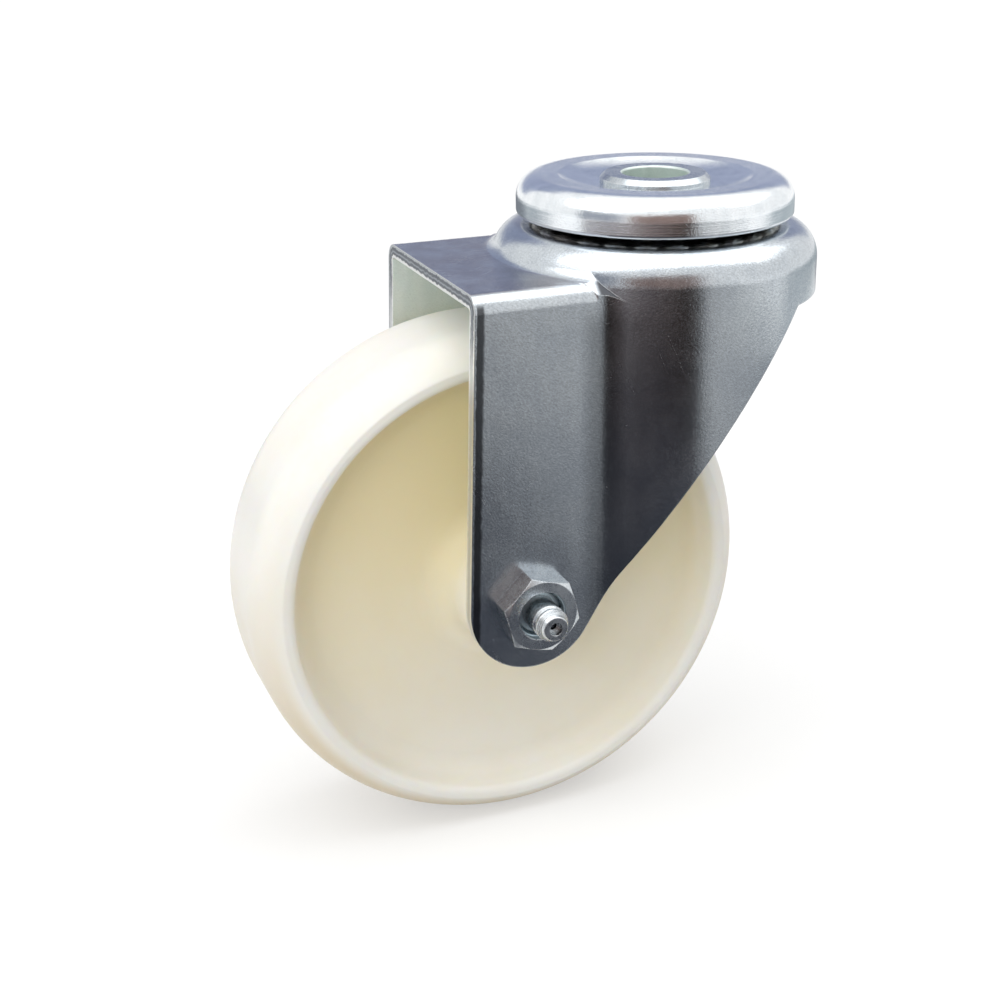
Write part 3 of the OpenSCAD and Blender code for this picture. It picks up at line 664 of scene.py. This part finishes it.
def dress_rollers_and_balls():
    ball = polished_ball()
    rollers = [node for node in NODES if node.startswith("roller_") and node != "roller_cage"]
    for node in ["upper_balls", "lower_balls"] + rollers:
        dress(node, ball)
    # Painted shade: the check ball is near black, so the nipple's hole reads dark
    dress("check_ball", polished_ball("valve_steel_painted_shade", VALVE_SHADE_DARK, VALVE_SHADE_GREASE))


def dress_solids():
    """Dresses every solid, and gives back the bolt end's zinc with its painted light, for the nut's
    thread.
    """
    about_axle = (AXLE, (math.pi / 2, 0, 0))
    # Painted light: a pale blue zinc for the shaded bolt end and the nut's thread
    painted_light_bolt_zinc = turned_zinc("turned_bolt_painted_light", *about_axle, dark=BOLT_DARK, light=BOLT_LIGHT,
                            rough=0.55)
    dress_head_and_fork()
    dress_axle(painted_light_bolt_zinc, about_axle)
    dress_rollers_and_balls()
    dress("wheel", moulded_nylon())
    dress("roller_cage", cage_plastic())
    return painted_light_bolt_zinc


# Thread that shows inside the nut, beyond the bolt's end

def thread_tree(material):
    """Geometry nodes that sweep a triangular ridge along a helix about the Z axis."""
    tree = bpy.data.node_groups.new("thread_ridge", "GeometryNodeTree")
    new_socket = tree.interface.new_socket
    new_socket(name="Geometry", in_out="OUTPUT", socket_type="NodeSocketGeometry")
    for label, value in (("Radius", THREAD_R), ("Pitch", THREAD_PITCH), ("Depth", THREAD_DEPTH),
                         ("Turns", 1.0)):
        socket = new_socket(name=label, in_out="INPUT", socket_type="NodeSocketFloat")
        socket.default_value = value
    given = tree.nodes.new("NodeGroupInput").outputs
    rise = calc(tree, "MULTIPLY", given["Turns"], given["Pitch"])
    helix = add(tree, "GeometryNodeCurveSpiral", Resolution=64, Rotations=given["Turns"],
                Start_Radius=given["Radius"], End_Radius=given["Radius"], Height=rise)
    profile = add(tree, "GeometryNodeCurvePrimitiveCircle", Resolution=3, Radius=given["Depth"])
    sweep = add(tree, "GeometryNodeCurveToMesh", Curve=helix.outputs[0],
                Profile_Curve=profile.outputs[0])
    sweep.inputs["Fill Caps"].default_value = True
    real = add(tree, "GeometryNodeRealizeInstances", Geometry=sweep.outputs[0])
    painted = add(tree, "GeometryNodeSetMaterial", Geometry=real.outputs[0], Material=material)
    tree.links.new(painted.outputs[0], tree.nodes.new("NodeGroupOutput").inputs[0])
    return tree


def made_mesh(name, tree, values):
    """A plain object with the mesh that a geometry node tree makes from these named values."""
    maker = bpy.data.objects.new(name + "_maker", bpy.data.meshes.new(name + "_maker"))
    bpy.context.scene.collection.objects.link(maker)
    modifier = maker.modifiers.new(name, "NODES")
    modifier.node_group = tree
    for item in tree.interface.items_tree:
        if item.in_out == "INPUT" and item.name in values:
            modifier[item.identifier] = values[item.name]
    bpy.context.view_layer.update()
    evaluated = maker.evaluated_get(bpy.context.evaluated_depsgraph_get())
    mesh = bpy.data.meshes.new_from_object(evaluated)
    bpy.data.objects.remove(maker)
    piece = bpy.data.objects.new(name, mesh)
    bpy.context.scene.collection.objects.link(piece)
    return piece


def nut_thread(material):
    """The nut's thread between the bolt's end and the nut's mouth."""
    start = BOLT_LOW.y + 0.0002
    end = NUT_LOW.y + 0.0003
    room = start - end
    turns = max(room - THREAD_DEPTH, THREAD_PITCH / 2) / THREAD_PITCH
    values = {"Turns": turns, "Depth": THREAD_DEPTH * 0.75}
    piece = made_mesh("nut_thread", thread_tree(material), values)
    foot = Matrix.Translation((AXLE.x, start - THREAD_DEPTH / 2, AXLE.z))
    piece.data.transform(foot @ UPRIGHT)
    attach(piece, "swivel_fork")
    return piece


# Studio

def is_seen(tree):
    """One where a camera, mirror or glass ray looks at the surface."""
    rays = tree.nodes.new("ShaderNodeLightPath").outputs
    either = calc(tree, "MAXIMUM", rays["Is Camera Ray"], rays["Is Glossy Ray"])
    return calc(tree, "MAXIMUM", either, rays["Is Transmission Ray"])


def white_world(ambient):
    world = bpy.data.worlds.new("studio")
    world.use_nodes = True
    tree = world.node_tree
    tree.nodes.clear()
    sky = add(tree, "ShaderNodeBackground", Color=(1, 1, 1, 1))
    tree.links.new(remap(tree, is_seen(tree), 0.0, 1.0, ambient, 1.0), sky.inputs["Strength"])
    tree.links.new(sky.outputs[0], tree.nodes.new("ShaderNodeOutputWorld").inputs[0])
    bpy.context.scene.world = world


def plane(name, width, depth, matrix):
    mesh = bpy.data.meshes.new(name)
    x, y = width / 2, depth / 2
    mesh.from_pydata([(-x, -y, 0), (x, -y, 0), (x, y, 0), (-x, y, 0)], [], [(0, 1, 2, 3)])
    mesh.transform(matrix)
    piece = bpy.data.objects.new(name, mesh)
    bpy.context.scene.collection.objects.link(piece)
    return piece


def white_floor(albedo, near_glow, far_glow):
    """A pale floor that takes a soft shadow. Its glow makes up for the lamps' fall-off."""
    floor = plane("floor", 12, 12, Matrix.Translation((0, 0, FLOOR_Z - 0.0001)))
    material = bpy.data.materials.new("floor")
    material.use_nodes = True
    tree = material.node_tree
    tree.nodes.clear()
    place = tree.nodes.new("ShaderNodeTexCoord").outputs["Object"]
    away = add(tree, "ShaderNodeVectorMath", {"operation": "LENGTH"})
    tree.links.new(place, away.inputs[0])
    glow = remap(tree, away.outputs["Value"], 0.1, 2.2, near_glow, far_glow)
    matt = add(tree, "ShaderNodeBsdfDiffuse", Color=(albedo, albedo, albedo, 1))
    strength = calc(tree, "MULTIPLY", is_seen(tree), glow)
    light = add(tree, "ShaderNodeEmission", Color=(1, 1, 1, 1), Strength=strength)
    both = tree.nodes.new("ShaderNodeAddShader")
    tree.links.new(matt.outputs[0], both.inputs[0])
    tree.links.new(light.outputs[0], both.inputs[1])
    tree.links.new(both.outputs[0], tree.nodes.new("ShaderNodeOutputMaterial").inputs[0])
    floor.data.materials.append(material)


def facing(place, aim):
    """The matrix that puts a lamp at place with its beam towards aim."""
    towards = (Vector(aim) - Vector(place)).normalized()
    return Matrix.Translation(place) @ towards.to_track_quat("-Z", "Y").to_matrix().to_4x4()


def softbox(name, place, aim, width, height, watts):
    lamp = bpy.data.lights.new(name, "AREA")
    lamp.shape = "RECTANGLE"
    lamp.size = width
    lamp.size_y = height
    lamp.energy = watts
    piece = bpy.data.objects.new(name, lamp)
    piece.matrix_world = facing(place, aim)
    piece.visible_camera = False
    bpy.context.scene.collection.objects.link(piece)
    return piece


def card_colour(tree, tones):
    """Tones of the ground card: dark before the object, lighter to the right and the far left."""
    low, dark, left, near, far, right = ((*tone, 1) for tone in tones)
    place = tree.nodes.new("ShaderNodeTexCoord").outputs["Object"]
    edge_x, edge_y, turn = DARK_EDGE
    moved = stretched(tree, place, place=(-edge_x, -edge_y, 0))
    along, past = split(tree, stretched(tree, moved, turn=(0, 0, -turn)))[:2]
    shade = blend(tree, remap(tree, along, 0.02, 0.30), low, dark)
    shade = blend(tree, remap(tree, past, -0.12, -0.54), shade, left)
    lit = blend(tree, remap(tree, along, 0.0, 0.26), near, far)
    lit = blend(tree, remap(tree, past, 0.20, 0.50), lit, right)
    return blend(tree, remap(tree, past, -0.003, 0.020), shade, lit)


def grey_card(name, width, height, matrix, tones):
    """A card that only shiny surfaces see, as a photographer's flag, in one tone or in six."""
    card = plane(name, width, height, matrix)
    material = bpy.data.materials.new(name)
    material.use_nodes = True
    tree = material.node_tree
    tree.nodes.clear()
    light = add(tree, "ShaderNodeEmission", Color=(*tones[0], 1), Strength=1.0)
    if len(tones) > 1:
        tree.links.new(card_colour(tree, tones), light.inputs["Color"])
    tree.links.new(light.outputs[0], tree.nodes.new("ShaderNodeOutputMaterial").inputs[0])
    card.data.materials.append(material)
    for ray in ("camera", "diffuse", "transmission", "volume_scatter", "shadow"):
        setattr(card, "visible_" + ray, False)


def lying(x, y):
    """The matrix that lays a card just above the floor."""
    return Matrix.Translation((x, y, FLOOR_Z + 0.0006))


def standing(x, y, above_floor, turn=0.0):
    """The matrix that stands a card up, its middle at a height above the floor."""
    place = Matrix.Translation((x, y, FLOOR_Z + above_floor))
    return place @ Matrix.Rotation(math.radians(turn), 4, "Z") @ UPRIGHT


def studio():
    white_world(0.50)
    white_floor(0.58, 0.45, 0.76)
    softbox("top_light", (-0.04, -0.08, 0.95), (-0.04, -0.08, 0), 3.0, 1.05, 14.5)
    fill = softbox("fill_light", (-0.80, -0.75, 0.32), (-0.04, 0, -0.08), 0.8, 0.6, 3.5)
    fill.visible_glossy = False
    grey_card("ground_card", 1.3, 1.25, lying(-0.20, -0.675), GROUND_TONES)
    grey_card("front_card", 1.55, 0.95, standing(-0.625, -1.35, 0.475), [(0.27, 0.19, 0.17)])
    grey_card("left_card", 0.9, 0.8, standing(-1.25, -0.45, 0.4, -70), [(0.36, 0.38, 0.43)])
    grey_card("back_card", 2.0, 0.95, standing(0.60, 1.2, 0.75), [(0.33, 0.37, 0.51)])
    grey_card("left_ground_card", 1.0, 1.0, lying(-0.78, 0.86), [(0.42, 0.46, 0.49)])
    grey_card("right_ground_card", 0.8, 1.0, lying(0.87, 0.34), [(0.45, 0.50, 0.53)])
    grey_card("back_ground_card", 0.74, 0.8, lying(0.10, 0.77), [(0.20, 0.22, 0.25)])


def camera():
    level = math.cos(CAMERA_RISE)
    back = Vector((math.sin(CAMERA_TURN) * level, -math.cos(CAMERA_TURN) * level,
                   math.sin(CAMERA_RISE)))
    right = Vector((math.cos(CAMERA_TURN), math.sin(CAMERA_TURN), 0))
    up = back.cross(right)
    data = bpy.data.cameras.new("camera")
    data.sensor_fit = "HORIZONTAL"
    data.sensor_width = 36
    data.lens = CAMERA_LENS
    data.shift_x, data.shift_y = CAMERA_SHIFT
    data.clip_start = 0.01
    piece = bpy.data.objects.new("camera", data)
    piece.matrix_world = Matrix((right, up, back)).transposed().to_4x4()
    piece.matrix_world.translation = CAMERA_AIM + back * CAMERA_AWAY
    bpy.context.scene.collection.objects.link(piece)
    bpy.context.scene.camera = piece


camera()
nut_thread(dress_solids())
studio()
bpy.context.scene.view_settings.view_transform = "Standard"

bpy.context.view_layer.update()
